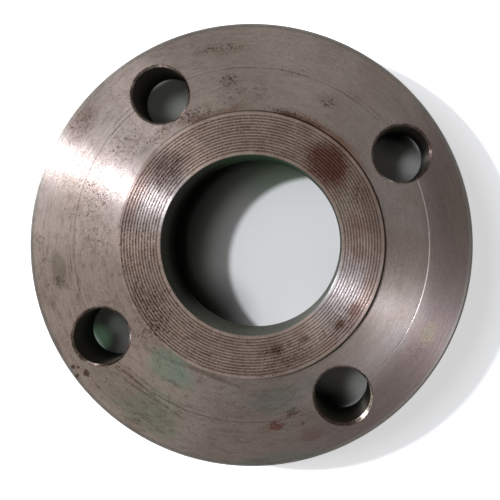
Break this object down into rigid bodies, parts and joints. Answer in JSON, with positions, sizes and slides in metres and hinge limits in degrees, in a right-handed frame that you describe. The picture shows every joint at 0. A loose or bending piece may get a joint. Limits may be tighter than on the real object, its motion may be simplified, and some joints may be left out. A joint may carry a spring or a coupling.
{
  "type": "pipe flange",
  "caption": "Flat-backed steel pipe flange with a raised, grooved gasket face, a plain through bore and bolt holes on a circle.",
  "frame": {"origin": "centre of the back face, on the bore axis", "axes": "+Z along the bore axis, from the back face to the raised gasket face; the bolt holes straddle X and Y"},
  "size_m": [0.1524, 0.1524, 0.0191],
  "materials": {
    "turned_steel": "bare turned steel with fine circular tool marks, light rust and stains"
  },
  "bodies": {
    "root": {"flange": "turned_steel"}
  },
  "joints": []
}
